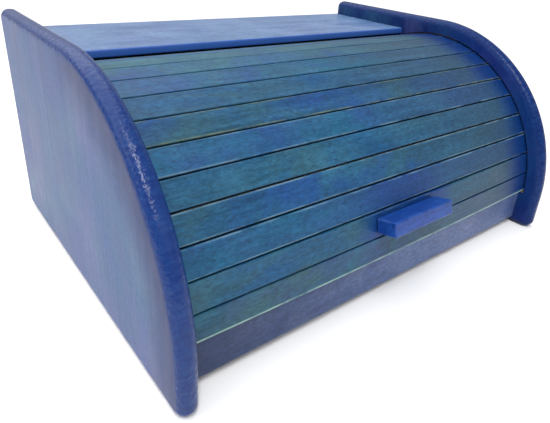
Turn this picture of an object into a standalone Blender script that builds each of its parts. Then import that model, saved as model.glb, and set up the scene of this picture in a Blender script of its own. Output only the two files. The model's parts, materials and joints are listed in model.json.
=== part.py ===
# Roll-top storage box: two rounded side panels carry a top board, a base board, a front rail and
# a back panel.  A shutter of wooden slats on a canvas backing slides in an arc-shaped groove cut in
# each side panel.  X is the width, the front faces -Y, +Z is up, and the origin is the middle of the
# footprint on the surface that the box stands on.  Angles around the shutter's axis start at the
# front horizontal and grow upward and over the top.
import math

import bmesh
import bpy
from mathutils import Matrix, Vector

# Overall size
WIDTH = 0.396
DEPTH = 0.304
HEIGHT = 0.180

# Side panels
PANEL_THICKNESS = 0.014
PANEL_ROUNDING = 0.005
PANEL_CORNER_RADIUS = 0.006
REAR_MARGIN = 0.010             # depth left over by the panels' half circle

# Boards
TOP_RECESS = 0.0157             # panel top down to the top board
TOP_BOARD_THICKNESS = 0.006
BASE_THICKNESS = 0.008
HOUSING_DEPTH = 0.004           # how deep both boards sit in the side panels
RAIL_THICKNESS = 0.014
RAIL_TOP = 0.036
UNDERSIDE = 0.0065              # rail, base and back stay this far off the floor
RAIL_SETBACK = 0.0025           # rail face behind the shutter's outer face
BACK_THICKNESS = 0.004
REBATE_DEPTH = 0.0055
BOARD_ROUNDING = 0.001

# Shutter
SLAT_COUNT = 14
SLAT_THICKNESS = 0.0065
SLAT_ROUNDING = 0.0006
SHUTTER_INSET = 0.0155          # panel outline in to the slats' outer faces
SHUTTER_OVERLAP = 0.022         # arc length of shutter hidden under the top board when closed
BOARD_SHUTTER_GAP = 0.0026      # top board's underside above the slats at its front edge
GROOVE_DEPTH = 0.006
GROOVE_OUTER_PLAY = 0.0015
GROOVE_INNER_PLAY = 0.0010
SLAT_END_PLAY = 0.0010
CANVAS_THICKNESS = 0.0006
CANVAS_SIDE_MARGIN = 0.010      # canvas edge in from the side panels
CANVAS_END_MARGIN = 0.003       # canvas edge in from the outermost slats' edges

# Handle and its screws
HANDLE_LENGTH = 0.066
HANDLE_HEIGHT = 0.0115
HANDLE_REACH = 0.0175
HANDLE_SLAT = 2
HANDLE_ROUNDING = 0.0008
SCREW_SPACING = 0.040
SCREW_RADIUS = 0.0015
SCREW_HEAD_RADIUS = 0.0032
SCREW_HEAD_HEIGHT = 0.0018
SCREW_BITE = 0.012              # thread length inside the handle

# Dowels and panel pins
DOWEL_RADIUS = 0.003
DOWEL_IN_PANEL = 0.008
DOWEL_IN_RAIL = 0.016
PIN_RADIUS = 0.0007
PIN_HEAD_RADIUS = 0.0015
PIN_HEAD_HEIGHT = 0.0006
PIN_LENGTH = 0.014
SIDE_PIN_COUNT = 3
BASE_PIN_COUNT = 3
PIN_END_MARGIN = 0.020

# Clearances
GAP = 0.0003                    # between pieces that touch
STOP_PLAY = 0.0012              # groove ends past the shutter's ends
ARC_STEP = math.radians(3.0)

# Worked out from the sizes above
INNER_X = WIDTH / 2 - PANEL_THICKNESS
PANEL_RADIUS = (DEPTH - REAR_MARGIN) / 2
AXIS_Y = PANEL_RADIUS - DEPTH / 2
AXIS_Z = HEIGHT - PANEL_RADIUS
SLAT_OUTER = PANEL_RADIUS - SHUTTER_INSET
SLAT_INNER = SLAT_OUTER - SLAT_THICKNESS
TOP_BOARD_TOP = HEIGHT - TOP_RECESS
TOP_BOARD_BOTTOM = TOP_BOARD_TOP - TOP_BOARD_THICKNESS
TOP_BOARD_FRONT = AXIS_Y + math.sqrt(
    SLAT_OUTER ** 2 - (TOP_BOARD_BOTTOM - BOARD_SHUTTER_GAP - AXIS_Z) ** 2)
BASE_TOP = UNDERSIDE + BASE_THICKNESS
RAIL_FRONT = AXIS_Y - SLAT_OUTER + RAIL_SETBACK
RAIL_BACK = RAIL_FRONT + RAIL_THICKNESS
REBATE_FACE = DEPTH / 2 - REBATE_DEPTH
REBATE_WIDTH = PANEL_THICKNESS / 2
BACK_FRONT = REBATE_FACE + GAP
SLAT_LENGTH = 2 * (INNER_X + GROOVE_DEPTH - SLAT_END_PLAY)
SHUTTER_END = (math.pi - math.acos((TOP_BOARD_FRONT - AXIS_Y) / SLAT_OUTER)
               + SHUTTER_OVERLAP / SLAT_OUTER)


def closed_start():
    # angle at which the lower corner of the first slat's bottom edge rests on the rail
    start = 0.0
    for _ in range(6):
        pitch = (SHUTTER_END - start) / SLAT_COUNT
        outer_drop = SLAT_THICKNESS * max(0.0, -math.sin(start + pitch / 2))
        height = RAIL_TOP + GAP - AXIS_Z + outer_drop
        start = math.asin(height * math.cos(pitch / 2) / SLAT_INNER)
    return start


SHUTTER_START = closed_start()
SLAT_PITCH = (SHUTTER_END - SHUTTER_START) / SLAT_COUNT
SLAT_WIDTH = 2 * SLAT_INNER * math.tan(SLAT_PITCH / 2) - GAP
CANVAS_OUTER = SLAT_INNER - GAP
CANVAS_INNER = CANVAS_OUTER - CANVAS_THICKNESS
GROOVE_START = SHUTTER_START - STOP_PLAY / SLAT_INNER
GROOVE_OUTER = SLAT_OUTER + GROOVE_OUTER_PLAY
GROOVE_INNER = SLAT_INNER - GROOVE_INNER_PLAY
GROOVE_END = math.pi + math.asin((AXIS_Z - BASE_TOP - STOP_PLAY) / GROOVE_OUTER)


def srgb(red, green, blue):
    # 8-bit display colour to the linear values that a shader takes
    def linear(channel):
        value = channel / 255
        return value / 12.92 if value <= 0.04045 else ((value + 0.055) / 1.055) ** 2.4
    return (linear(red), linear(green), linear(blue), 1.0)


def add_material(name, colour, roughness, metallic=0.0):
    material = bpy.data.materials.new(name)
    material.use_nodes = True
    shader = material.node_tree.nodes["Principled BSDF"]
    shader.inputs["Base Color"].default_value = colour
    shader.inputs["Roughness"].default_value = roughness
    shader.inputs["Metallic"].default_value = metallic
    return material


def clear_scene():
    for obj in list(bpy.data.objects):
        bpy.data.objects.remove(obj, do_unlink=True)


def new_collection(name):
    collection = bpy.data.collections.new(name)
    bpy.context.scene.collection.children.link(collection)
    return collection


def link_object(name, mesh, collection, material=None, location=(0, 0, 0), rotation=(0, 0, 0)):
    obj = bpy.data.objects.new(name, mesh)
    obj.location = location
    obj.rotation_euler = rotation
    if material and not mesh.materials:
        mesh.materials.append(material)
    collection.objects.link(obj)
    return obj


def mesh_from(bm, name):
    bmesh.ops.recalc_face_normals(bm, faces=bm.faces)
    mesh = bpy.data.meshes.new(name)
    bm.to_mesh(mesh)
    bm.free()
    return mesh


def box_mesh(name, size, centre=(0, 0, 0)):
    bm = bmesh.new()
    bmesh.ops.create_cube(bm, size=1.0)
    bmesh.ops.scale(bm, vec=Vector(size), verts=bm.verts)
    bmesh.ops.translate(bm, vec=Vector(centre), verts=bm.verts)
    return mesh_from(bm, name)


def span_box(name, low, high):
    # box from its low corner to its high corner
    size = [b - a for a, b in zip(low, high)]
    centre = [(a + b) / 2 for a, b in zip(low, high)]
    return box_mesh(name, size, centre)


def cylinder_mesh(name, radius, length, axis, centre, segments=20):
    # round bar about a world axis, centred on a point
    turn = {"X": Matrix.Rotation(math.pi / 2, 4, "Y"),
            "Y": Matrix.Rotation(math.pi / 2, 4, "X"),
            "Z": Matrix.Identity(4)}[axis]
    bm = bmesh.new()
    bmesh.ops.create_cone(bm, cap_ends=True, segments=segments, radius1=radius, radius2=radius,
                          depth=length, matrix=Matrix.Translation(Vector(centre)) @ turn)
    return mesh_from(bm, name)


def add_bevel(obj, width, segments):
    bevel = obj.modifiers.new("Bevel", "BEVEL")
    bevel.width = width
    bevel.segments = segments
    bevel.limit_method = "ANGLE"
    bevel.angle_limit = math.radians(50)


def add_cut(obj, cutter_mesh, cutters):
    cutter = link_object(cutter_mesh.name, cutter_mesh, cutters)
    cutter.hide_render = True
    cutter.display_type = "WIRE"
    cutter.parent = obj.parent
    cut = obj.modifiers.new("Cut", "BOOLEAN")
    cut.operation = "DIFFERENCE"
    cut.solver = "EXACT"
    cut.object = cutter


def shade_round(mesh):
    mesh.shade_smooth()
    mesh.set_sharp_from_angle(angle=math.radians(40))


def arc_points(centre_y, centre_z, radius, start, end, steps):
    # points along an arc, angles as the shutter's
    points = []
    for i in range(steps + 1):
        angle = start + (end - start) * i / steps
        points.append((centre_y - radius * math.cos(angle), centre_z + radius * math.sin(angle)))
    return points


def panel_outline():
    # side view of a panel: front edge, quarter circle, flat top, back edge, flat bottom
    corner = PANEL_CORNER_RADIUS
    back = DEPTH / 2
    quarter = math.pi / 2
    # the front corner's arc is tangent to the floor and to the front edge, or to the big arc
    # where that one comes down lower than the corner
    meet = math.asin(max(0.0, corner - AXIS_Z) / (PANEL_RADIUS - corner))
    corner_y = AXIS_Y - (PANEL_RADIUS - corner) * math.cos(meet)
    arc_steps = round((quarter - meet) / ARC_STEP)
    outline = arc_points(corner_y, corner, corner, -quarter, meet, 4)
    outline += arc_points(AXIS_Y, AXIS_Z, PANEL_RADIUS, meet, quarter, arc_steps)
    outline += arc_points(back - corner, HEIGHT - corner, corner, quarter, 2 * quarter, 4)
    outline += arc_points(back - corner, corner, corner, 2 * quarter, 3 * quarter, 4)
    return outline


def panel_mesh(name):
    # flat outline thickened along X, about x = 0
    curve = bpy.data.curves.new(name, "CURVE")
    curve.dimensions = "2D"
    curve.fill_mode = "BOTH"
    curve.extrude = PANEL_THICKNESS / 2
    outline = panel_outline()
    spline = curve.splines.new("POLY")
    spline.points.add(len(outline) - 1)
    for point, (y, z) in zip(spline.points, outline):
        point.co = (y, z, 0, 1)
    spline.use_cyclic_u = True
    guide = bpy.data.objects.new(name, curve)
    bpy.context.scene.collection.objects.link(guide)
    depsgraph = bpy.context.evaluated_depsgraph_get()
    mesh = bpy.data.meshes.new_from_object(guide.evaluated_get(depsgraph))
    bpy.data.objects.remove(guide, do_unlink=True)
    stand_up = Matrix(((0, 0, 1, 0), (1, 0, 0, 0), (0, 1, 0, 0), (0, 0, 0, 1)))
    bm = bmesh.new()
    bm.from_mesh(mesh)
    bmesh.ops.remove_doubles(bm, verts=bm.verts, dist=0.00001)
    bmesh.ops.dissolve_limit(bm, angle_limit=0.001, verts=bm.verts, edges=bm.edges)
    bmesh.ops.transform(bm, matrix=stand_up, verts=bm.verts)
    return mesh_from(bm, name)


def arc_solid(name, inner, outer, x_low, x_high, start, end):
    # ring segment about the shutter's axis
    steps = max(2, round((end - start) / ARC_STEP))
    bm = bmesh.new()
    corners = [bm.verts.new((x, AXIS_Y - r * math.cos(start), AXIS_Z + r * math.sin(start)))
               for x, r in ((x_low, inner), (x_high, inner), (x_high, outer), (x_low, outer))]
    bm.faces.new(corners)
    bmesh.ops.spin(bm, geom=bm.faces[:], cent=(0, AXIS_Y, AXIS_Z), axis=(-1, 0, 0),
                   angle=end - start, steps=steps, use_duplicate=False)
    bmesh.ops.triangulate(bm, faces=bm.faces[:])        # flat faces keep the groove's cut exact
    return mesh_from(bm, name)


def side_span(side, low, high):
    # x range on one side of the box, in rising order
    return (low, high) if side > 0 else (-high, -low)


def side_pin_heights():
    low = UNDERSIDE + PIN_END_MARGIN
    high = TOP_BOARD_BOTTOM - PIN_END_MARGIN
    return [low + (high - low) * i / (SIDE_PIN_COUNT - 1) for i in range(SIDE_PIN_COUNT)]


def base_pin_places():
    span = INNER_X - PIN_END_MARGIN
    return [-span + 2 * span * i / (BASE_PIN_COUNT - 1) for i in range(BASE_PIN_COUNT)]


def dowel_heights():
    middle = (UNDERSIDE + RAIL_TOP) / 2
    step = (RAIL_TOP - UNDERSIDE) / 4
    return {"lower": middle - step, "upper": middle + step}


def build_panel(side, label, parts, cutters):
    material = add_material(label + "_side_panel", srgb(110, 128, 168), 0.38)
    panel = link_object(label + "_side_panel", panel_mesh(label + "_side_panel"), parts, material,
                        location=(side * (WIDTH - PANEL_THICKNESS) / 2, 0, 0))
    add_bevel(panel, min(PANEL_ROUNDING, PANEL_THICKNESS * 0.4), 4)

    def x_range(depth):
        return side_span(side, INNER_X - PANEL_THICKNESS, INNER_X + depth)

    low, high = x_range(GROOVE_DEPTH)
    add_cut(panel, arc_solid(label + "_shutter_groove", GROOVE_INNER, GROOVE_OUTER, low, high,
                             GROOVE_START, GROOVE_END), cutters)
    low, high = x_range(HOUSING_DEPTH)
    add_cut(panel, span_box(label + "_top_housing",
                            (low, TOP_BOARD_FRONT - GAP, TOP_BOARD_BOTTOM - GAP),
                            (high, DEPTH, TOP_BOARD_TOP + GAP)), cutters)
    add_cut(panel, span_box(label + "_base_housing",
                            (low, RAIL_BACK, UNDERSIDE - GAP),
                            (high, DEPTH, BASE_TOP + GAP)), cutters)
    low, high = x_range(REBATE_WIDTH)
    add_cut(panel, span_box(label + "_back_rebate",
                            (low, REBATE_FACE, -UNDERSIDE),
                            (high, DEPTH, TOP_BOARD_BOTTOM)), cutters)
    for level, z in dowel_heights().items():
        depth = DOWEL_IN_PANEL + GAP
        bore = cylinder_mesh(label + "_dowel_bore_" + level, DOWEL_RADIUS + GAP, 2 * depth, "X",
                             (side * INNER_X, (RAIL_FRONT + RAIL_BACK) / 2, z))
        add_cut(panel, bore, cutters)
    for i, z in enumerate(side_pin_heights()):
        bore = cylinder_mesh("%s_pin_bore_%d" % (label, i + 1), PIN_RADIUS + GAP,
                             2 * PIN_LENGTH, "Y", (side * pin_x(), REBATE_FACE, z), 12)
        add_cut(panel, bore, cutters)
    return panel


def pin_x():
    return INNER_X + REBATE_WIDTH / 2


def build_top_board(parts):
    material = add_material("top_board", srgb(140, 155, 200), 0.35)
    half = INNER_X + HOUSING_DEPTH - GAP
    mesh = span_box("top_board", (-half, TOP_BOARD_FRONT, TOP_BOARD_BOTTOM),
                    (half, DEPTH / 2, TOP_BOARD_TOP))
    board = link_object("top_board", mesh, parts, material)
    add_bevel(board, BOARD_ROUNDING, 2)


def build_base_board(parts, cutters):
    material = add_material("base_board", srgb(196, 160, 112), 0.6)
    half = INNER_X + HOUSING_DEPTH - GAP
    mesh = span_box("base_board", (-half, RAIL_BACK + GAP, UNDERSIDE), (half, REBATE_FACE, BASE_TOP))
    board = link_object("base_board", mesh, parts, material)
    for i, x in enumerate(base_pin_places()):
        bore = cylinder_mesh("base_pin_bore_%d" % (i + 1), PIN_RADIUS + GAP, 2 * PIN_LENGTH, "Y",
                             (x, REBATE_FACE, UNDERSIDE + BASE_THICKNESS / 2), 12)
        add_cut(board, bore, cutters)


def build_front_rail(parts, cutters):
    material = add_material("front_rail", srgb(80, 92, 142), 0.38)
    half = INNER_X - GAP
    mesh = span_box("front_rail", (-half, RAIL_FRONT, UNDERSIDE), (half, RAIL_BACK, RAIL_TOP))
    rail = link_object("front_rail", mesh, parts, material)
    add_bevel(rail, BOARD_ROUNDING, 2)
    for side, label in ((-1, "left"), (1, "right")):
        for level, z in dowel_heights().items():
            depth = DOWEL_IN_RAIL + GAP
            bore = cylinder_mesh("rail_bore_%s_%s" % (label, level), DOWEL_RADIUS + GAP, 2 * depth,
                                 "X", (side * half, (RAIL_FRONT + RAIL_BACK) / 2, z))
            add_cut(rail, bore, cutters)


def build_back_panel(parts, cutters):
    material = add_material("back_panel", srgb(186, 150, 104), 0.65)
    half = INNER_X + REBATE_WIDTH - GAP
    mesh = span_box("back_panel", (-half, BACK_FRONT, UNDERSIDE),
                    (half, BACK_FRONT + BACK_THICKNESS, TOP_BOARD_BOTTOM - GAP))
    back = link_object("back_panel", mesh, parts, material)
    for name, place in pin_places().items():
        bore = cylinder_mesh(name + "_clearance", PIN_RADIUS + GAP, 4 * BACK_THICKNESS, "Y",
                             (place[0], BACK_FRONT, place[1]), 12)
        add_cut(back, bore, cutters)


def build_dowels(parts):
    material = add_material("dowel", srgb(205, 172, 124), 0.7)
    length = DOWEL_IN_PANEL + DOWEL_IN_RAIL
    for side, label in ((-1, "left"), (1, "right")):
        for level, z in dowel_heights().items():
            centre_x = side * (INNER_X + DOWEL_IN_PANEL - length / 2)
            mesh = cylinder_mesh("rail_dowel", DOWEL_RADIUS, length, "X", (0, 0, 0))
            shade_round(mesh)
            dowel = link_object("rail_dowel_%s_%s" % (label, level), mesh, parts, material,
                                location=(centre_x, (RAIL_FRONT + RAIL_BACK) / 2, z))
            add_bevel(dowel, DOWEL_RADIUS / 5, 1)


def profile_mesh(name, profile):
    # open outline of (radius, height) points, top to bottom, to be turned about Z
    bm = bmesh.new()
    previous = None
    for radius, height in profile:
        vertex = bm.verts.new((radius, 0, height))
        if previous:
            bm.edges.new((previous, vertex))
        previous = vertex
    mesh = bpy.data.meshes.new(name)
    bm.to_mesh(mesh)
    bm.free()
    return mesh


def add_turning(obj, segments):
    screw = obj.modifiers.new("Screw", "SCREW")
    screw.axis = "Z"
    screw.angle = 2 * math.pi
    screw.steps = segments
    screw.render_steps = segments
    screw.use_merge_vertices = True
    screw.merge_threshold = 0.00001
    screw.use_smooth_shade = False


def fastener_profile(head_radius, head_height, shank_radius, length):
    # domed head, plain shank and a pointed end, with the head's underside at height 0
    tip = shank_radius * 2
    return [(0, head_height), (head_radius * 0.6, head_height * 0.92), (head_radius, 0),
            (shank_radius, 0), (shank_radius, tip - length), (0, -length)]


def pin_places():
    # x and z of every panel pin, by name
    places = {}
    for side, label in ((-1, "left"), (1, "right")):
        for i, z in enumerate(side_pin_heights()):
            places["back_pin_%s_%d" % (label, i + 1)] = (side * pin_x(), z)
    for i, x in enumerate(base_pin_places()):
        places["back_pin_base_%d" % (i + 1)] = (x, UNDERSIDE + BASE_THICKNESS / 2)
    return places


def build_pins(parts):
    material = add_material("panel_pin", srgb(150, 150, 155), 0.35, 1.0)
    profile = fastener_profile(PIN_HEAD_RADIUS, PIN_HEAD_HEIGHT, PIN_RADIUS, PIN_LENGTH)
    mesh = profile_mesh("panel_pin", profile)
    under_head = BACK_FRONT + BACK_THICKNESS + GAP
    for name, (x, z) in pin_places().items():
        pin = link_object(name, mesh, parts, material, location=(x, under_head, z),
                          rotation=(-math.pi / 2, 0, 0))
        add_turning(pin, 12)


def slat_angle(number):
    # middle of a slat, counted from 1 at the bottom
    return SHUTTER_START + (number - 0.5) * SLAT_PITCH


def screw_places():
    return {"left": -SCREW_SPACING / 2, "right": SCREW_SPACING / 2}


def shutter_point(radius, angle):
    # offset from the shutter's axis, in the shutter's own frame
    return (0, -radius * math.cos(angle), radius * math.sin(angle))


def add_shutter_axis(parts):
    axis = bpy.data.objects.new("shutter_axis", None)
    axis.location = (0, AXIS_Y, AXIS_Z)
    parts.objects.link(axis)
    return axis


def screw_bore(name, x, angle, low, high):
    # hole along the handle slat's normal between two radii, in the shutter's own frame
    turn = Matrix.Rotation(-angle, 4, "X") @ Matrix.Rotation(math.pi / 2, 4, "X")
    middle = Vector(shutter_point((low + high) / 2, angle)) + Vector((x, 0, 0))
    bm = bmesh.new()
    bmesh.ops.create_cone(bm, cap_ends=True, segments=16, radius1=SCREW_RADIUS + GAP,
                          radius2=SCREW_RADIUS + GAP, depth=high - low,
                          matrix=Matrix.Translation(middle) @ turn)
    return mesh_from(bm, name)


def build_slats(axis, parts, cutters):
    for number in range(1, SLAT_COUNT + 1):
        name = "slat_%02d" % number
        shade = (number * 5) % 7
        material = add_material(name, srgb(58 + 4 * shade, 98 + 3 * shade, 140 + 2 * shade), 0.36)
        angle = slat_angle(number)
        mesh = box_mesh(name, (SLAT_LENGTH, SLAT_THICKNESS, SLAT_WIDTH))
        slat = link_object(name, mesh, parts, material, rotation=(-angle, 0, 0),
                           location=shutter_point((SLAT_INNER + SLAT_OUTER) / 2, angle))
        slat.parent = axis
        add_bevel(slat, SLAT_ROUNDING, 1)
        if number == HANDLE_SLAT:
            for label, x in screw_places().items():
                add_cut(slat, screw_bore("slat_bore_" + label, x, angle, CANVAS_INNER,
                                         SLAT_OUTER + SLAT_THICKNESS), cutters)


def build_canvas(axis, parts, cutters):
    # strip that follows the slats' flat inner faces, with a fold at each joint
    material = add_material("shutter_canvas", srgb(196, 188, 168), 0.9)
    half = INNER_X - CANVAS_SIDE_MARGIN
    trim = CANVAS_END_MARGIN / CANVAS_OUTER
    angles = [SHUTTER_START + trim]
    angles += [SHUTTER_START + SLAT_PITCH * i for i in range(1, SLAT_COUNT)]
    angles += [SHUTTER_END - trim]
    bm = bmesh.new()
    previous = None
    for i, angle in enumerate(angles):
        slat_middle = slat_angle(min(i + 1, SLAT_COUNT))
        radius = CANVAS_OUTER / math.cos(slat_middle - angle)
        offset = Vector(shutter_point(radius, angle))
        pair = [bm.verts.new(offset + Vector((x, 0, 0))) for x in (-half, half)]
        if previous:
            bm.faces.new((previous[0], previous[1], pair[1], pair[0]))
        previous = pair
    mesh = bpy.data.meshes.new("shutter_canvas")
    bm.to_mesh(mesh)
    bm.free()
    canvas = link_object("shutter_canvas", mesh, parts, material)
    canvas.parent = axis
    solidify = canvas.modifiers.new("Solidify", "SOLIDIFY")
    solidify.thickness = CANVAS_THICKNESS
    solidify.offset = -1
    solidify.use_even_offset = True
    angle = slat_angle(HANDLE_SLAT)
    for label, x in screw_places().items():
        add_cut(canvas, screw_bore("canvas_bore_" + label, x, angle, CANVAS_INNER - SLAT_THICKNESS,
                                   SLAT_OUTER), cutters)


def build_handle(axis, parts, cutters):
    material = add_material("handle", srgb(50, 80, 165), 0.34)
    angle = slat_angle(HANDLE_SLAT)
    foot = SLAT_OUTER + GAP
    mesh = box_mesh("handle", (HANDLE_LENGTH, HANDLE_REACH, HANDLE_HEIGHT))
    handle = link_object("handle", mesh, parts, material, rotation=(-angle, 0, 0),
                         location=shutter_point(foot + HANDLE_REACH / 2, angle))
    handle.parent = axis
    add_bevel(handle, HANDLE_ROUNDING, 2)
    for label, x in screw_places().items():
        add_cut(handle, screw_bore("handle_bore_" + label, x, angle, SLAT_INNER,
                                   foot + SCREW_BITE + GAP), cutters)


def build_handle_screws(axis, parts):
    material = add_material("handle_screw", srgb(170, 168, 160), 0.3, 1.0)
    angle = slat_angle(HANDLE_SLAT)
    under_head = CANVAS_INNER - GAP
    length = SLAT_OUTER + GAP + SCREW_BITE - under_head
    profile = fastener_profile(SCREW_HEAD_RADIUS, SCREW_HEAD_HEIGHT, SCREW_RADIUS, length)
    mesh = profile_mesh("handle_screw", profile)
    for label, x in screw_places().items():
        place = Vector(shutter_point(under_head, angle)) + Vector((x, 0, 0))
        screw = link_object("handle_screw_" + label, mesh, parts, material, location=place,
                            rotation=(-math.pi / 2 - angle, 0, 0))
        screw.parent = axis
        add_turning(screw, 16)


def build():
    clear_scene()
    parts = new_collection("roll_top_box")
    cutters = new_collection("cutters")
    for side, label in ((-1, "left"), (1, "right")):
        build_panel(side, label, parts, cutters)
    build_top_board(parts)
    build_base_board(parts, cutters)
    build_front_rail(parts, cutters)
    build_back_panel(parts, cutters)
    build_dowels(parts)
    build_pins(parts)
    axis = add_shutter_axis(parts)
    build_slats(axis, parts, cutters)
    build_canvas(axis, parts, cutters)
    build_handle(axis, parts, cutters)
    build_handle_screws(axis, parts)


build()
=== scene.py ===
# Stained roll-top box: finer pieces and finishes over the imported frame
import json
import math

import bmesh
import bpy
from mathutils import Matrix, Vector, noise


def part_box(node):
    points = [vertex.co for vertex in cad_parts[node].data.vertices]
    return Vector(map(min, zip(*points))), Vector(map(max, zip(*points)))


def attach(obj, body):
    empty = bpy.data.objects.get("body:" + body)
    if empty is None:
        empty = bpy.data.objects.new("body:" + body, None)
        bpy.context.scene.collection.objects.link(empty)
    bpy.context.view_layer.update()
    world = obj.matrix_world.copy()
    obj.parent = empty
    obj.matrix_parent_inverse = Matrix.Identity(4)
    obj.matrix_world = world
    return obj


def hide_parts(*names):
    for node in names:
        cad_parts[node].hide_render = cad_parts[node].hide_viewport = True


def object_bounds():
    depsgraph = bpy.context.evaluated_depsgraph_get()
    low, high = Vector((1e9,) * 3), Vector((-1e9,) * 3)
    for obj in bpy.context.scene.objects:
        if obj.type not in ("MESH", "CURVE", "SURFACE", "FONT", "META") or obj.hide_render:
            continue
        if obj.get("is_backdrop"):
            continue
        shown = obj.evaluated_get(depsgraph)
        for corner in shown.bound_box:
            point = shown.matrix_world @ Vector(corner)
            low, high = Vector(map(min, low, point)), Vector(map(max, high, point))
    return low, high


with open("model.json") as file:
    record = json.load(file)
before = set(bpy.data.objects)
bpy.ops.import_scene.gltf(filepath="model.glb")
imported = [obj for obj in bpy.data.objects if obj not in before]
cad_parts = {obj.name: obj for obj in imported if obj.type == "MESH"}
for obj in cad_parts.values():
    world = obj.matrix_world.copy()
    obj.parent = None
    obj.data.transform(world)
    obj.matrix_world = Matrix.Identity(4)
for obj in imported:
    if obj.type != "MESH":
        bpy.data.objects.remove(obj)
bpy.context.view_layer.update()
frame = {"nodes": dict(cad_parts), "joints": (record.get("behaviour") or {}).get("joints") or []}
print("frame loaded,", len(frame["nodes"]), "nodes")

axisPlace = Vector(frame["joints"][0]["pos_m"])     # the shutter turns about this line, along X
jointGap = 0.0003           # clearance left round a board in its housing and a dowel in its hole
weld = 0.00001              # points closer than this are one when a mesh is sliced
flatMargin = 0.0006         # strip beside a rounded edge that keeps the face beside it flat
cutOver = 0.01              # how far a cutter stands out of the face that it starts from
pinNodes = sorted(node for node in frame["nodes"] if node.startswith("back_pin_"))
noise.seed_set(7)           # vector noise is otherwise read from a new place on every run


def onArc(radius, angle, x=0.0):
    # place on a circle round the shutter's axis, angle measured up from the front
    return axisPlace + Vector((x, -radius * math.cos(angle), radius * math.sin(angle)))


def shade(red, green, blue):
    # colour as read off a colour chart, to the linear values that a shader takes
    def linear(channel):
        value = channel / 255
        return value / 12.92 if value <= 0.04045 else ((value + 0.055) / 1.055) ** 2.4
    return (linear(red), linear(green), linear(blue), 1.0)


def plug(tree, value, socket):
    if isinstance(value, bpy.types.NodeSocket):
        tree.links.new(value, socket)
    else:
        socket.default_value = value


def newMaterial(name):
    material = bpy.data.materials.new(name)
    material.use_nodes = True
    return material, material.node_tree, material.node_tree.nodes["Principled BSDF"]


def pieceCoords(tree, scale=(1, 1, 1), shift=(0, 0, 0)):
    # the piece's own coordinates, stretched so that a pattern runs along the wood
    coords = tree.nodes.new("ShaderNodeTexCoord")
    mapping = tree.nodes.new("ShaderNodeMapping")
    mapping.inputs["Scale"].default_value = scale
    mapping.inputs["Location"].default_value = shift
    tree.links.new(coords.outputs["Object"], mapping.inputs["Vector"])
    return mapping.outputs["Vector"]


def addNoise(tree, coords, scale, detail=4.0, rough=0.55, bend=0.0):
    node = tree.nodes.new("ShaderNodeTexNoise")
    tree.links.new(coords, node.inputs["Vector"])
    node.inputs["Scale"].default_value = scale
    node.inputs["Detail"].default_value = detail
    node.inputs["Roughness"].default_value = rough
    node.inputs["Distortion"].default_value = bend
    return node.outputs["Fac"]


def spread(tree, value, low, high, newLow=0.0, newHigh=1.0):
    # the stretch from low to high becomes newLow to newHigh, and stops there
    node = tree.nodes.new("ShaderNodeMapRange")
    plug(tree, value, node.inputs["Value"])
    node.inputs["From Min"].default_value = low
    node.inputs["From Max"].default_value = high
    node.inputs["To Min"].default_value = newLow
    node.inputs["To Max"].default_value = newHigh
    return node.outputs["Result"]


def reckon(tree, operation, first, second=0.0):
    node = tree.nodes.new("ShaderNodeMath")
    node.operation = operation
    plug(tree, first, node.inputs[0])
    plug(tree, second, node.inputs[1])
    return node.outputs["Value"]


def mixColour(tree, amount, first, second, blend="MIX"):
    node = tree.nodes.new("ShaderNodeMix")
    node.data_type = "RGBA"
    node.blend_type = blend
    plug(tree, amount, node.inputs[0])
    plug(tree, first, node.inputs[6])       # sockets 6 and 7 are the node's two colours
    plug(tree, second, node.inputs[7])
    return node.outputs[2]


def splitPlace(tree):
    node = tree.nodes.new("ShaderNodeSeparateXYZ")
    tree.links.new(pieceCoords(tree), node.inputs["Vector"])
    return node.outputs


def readAttribute(tree, name):
    node = tree.nodes.new("ShaderNodeAttribute")
    node.attribute_name = name
    return node.outputs["Fac"]


def addBump(tree, height, strength, distance, under=None):
    node = tree.nodes.new("ShaderNodeBump")
    node.inputs["Strength"].default_value = strength
    node.inputs["Distance"].default_value = distance
    plug(tree, height, node.inputs["Height"])
    if under:
        tree.links.new(under, node.inputs["Normal"])
    return node.outputs["Normal"]


def addBands(tree, colour, mottle, bands):
    # colour that changes with the distance from a place along a board; some of these bands are
    # painted shade
    place = splitPlace(tree)
    for band in bands:
        reach = reckon(tree, "ABSOLUTE", reckon(tree, "SUBTRACT", place["X"], band["middle"]))
        reach = reckon(tree, "ADD", reach, reckon(tree, "MULTIPLY", mottle, 0.014))
        amount = spread(tree, reach, band["from"], band["to"], 0.0, band["depth"])
        colour = mixColour(tree, amount, colour, band["colour"])
    return colour


def addRimShade(tree, colour, mottle, rim):
    # stain builds up towards the rounded front of a side panel
    fromAxis = tree.nodes.new("ShaderNodeVectorMath")
    fromAxis.operation = "LENGTH"
    tree.links.new(pieceCoords(tree, (0, 1, 1), (0, -axisPlace.y, -axisPlace.z)),
                   fromAxis.inputs[0])
    reach = reckon(tree, "ADD", fromAxis.outputs["Value"],
                   reckon(tree, "MULTIPLY", mottle, rim["blur"]))
    near = reckon(tree, "MULTIPLY", spread(tree, reach, rim["from"], rim["to"]),
                  spread(tree, splitPlace(tree)["Y"], rim["fadeFrom"], rim["fadeTo"]))
    return mixColour(tree, reckon(tree, "MULTIPLY", near, rim["depth"]), colour, rim["colour"])


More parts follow.
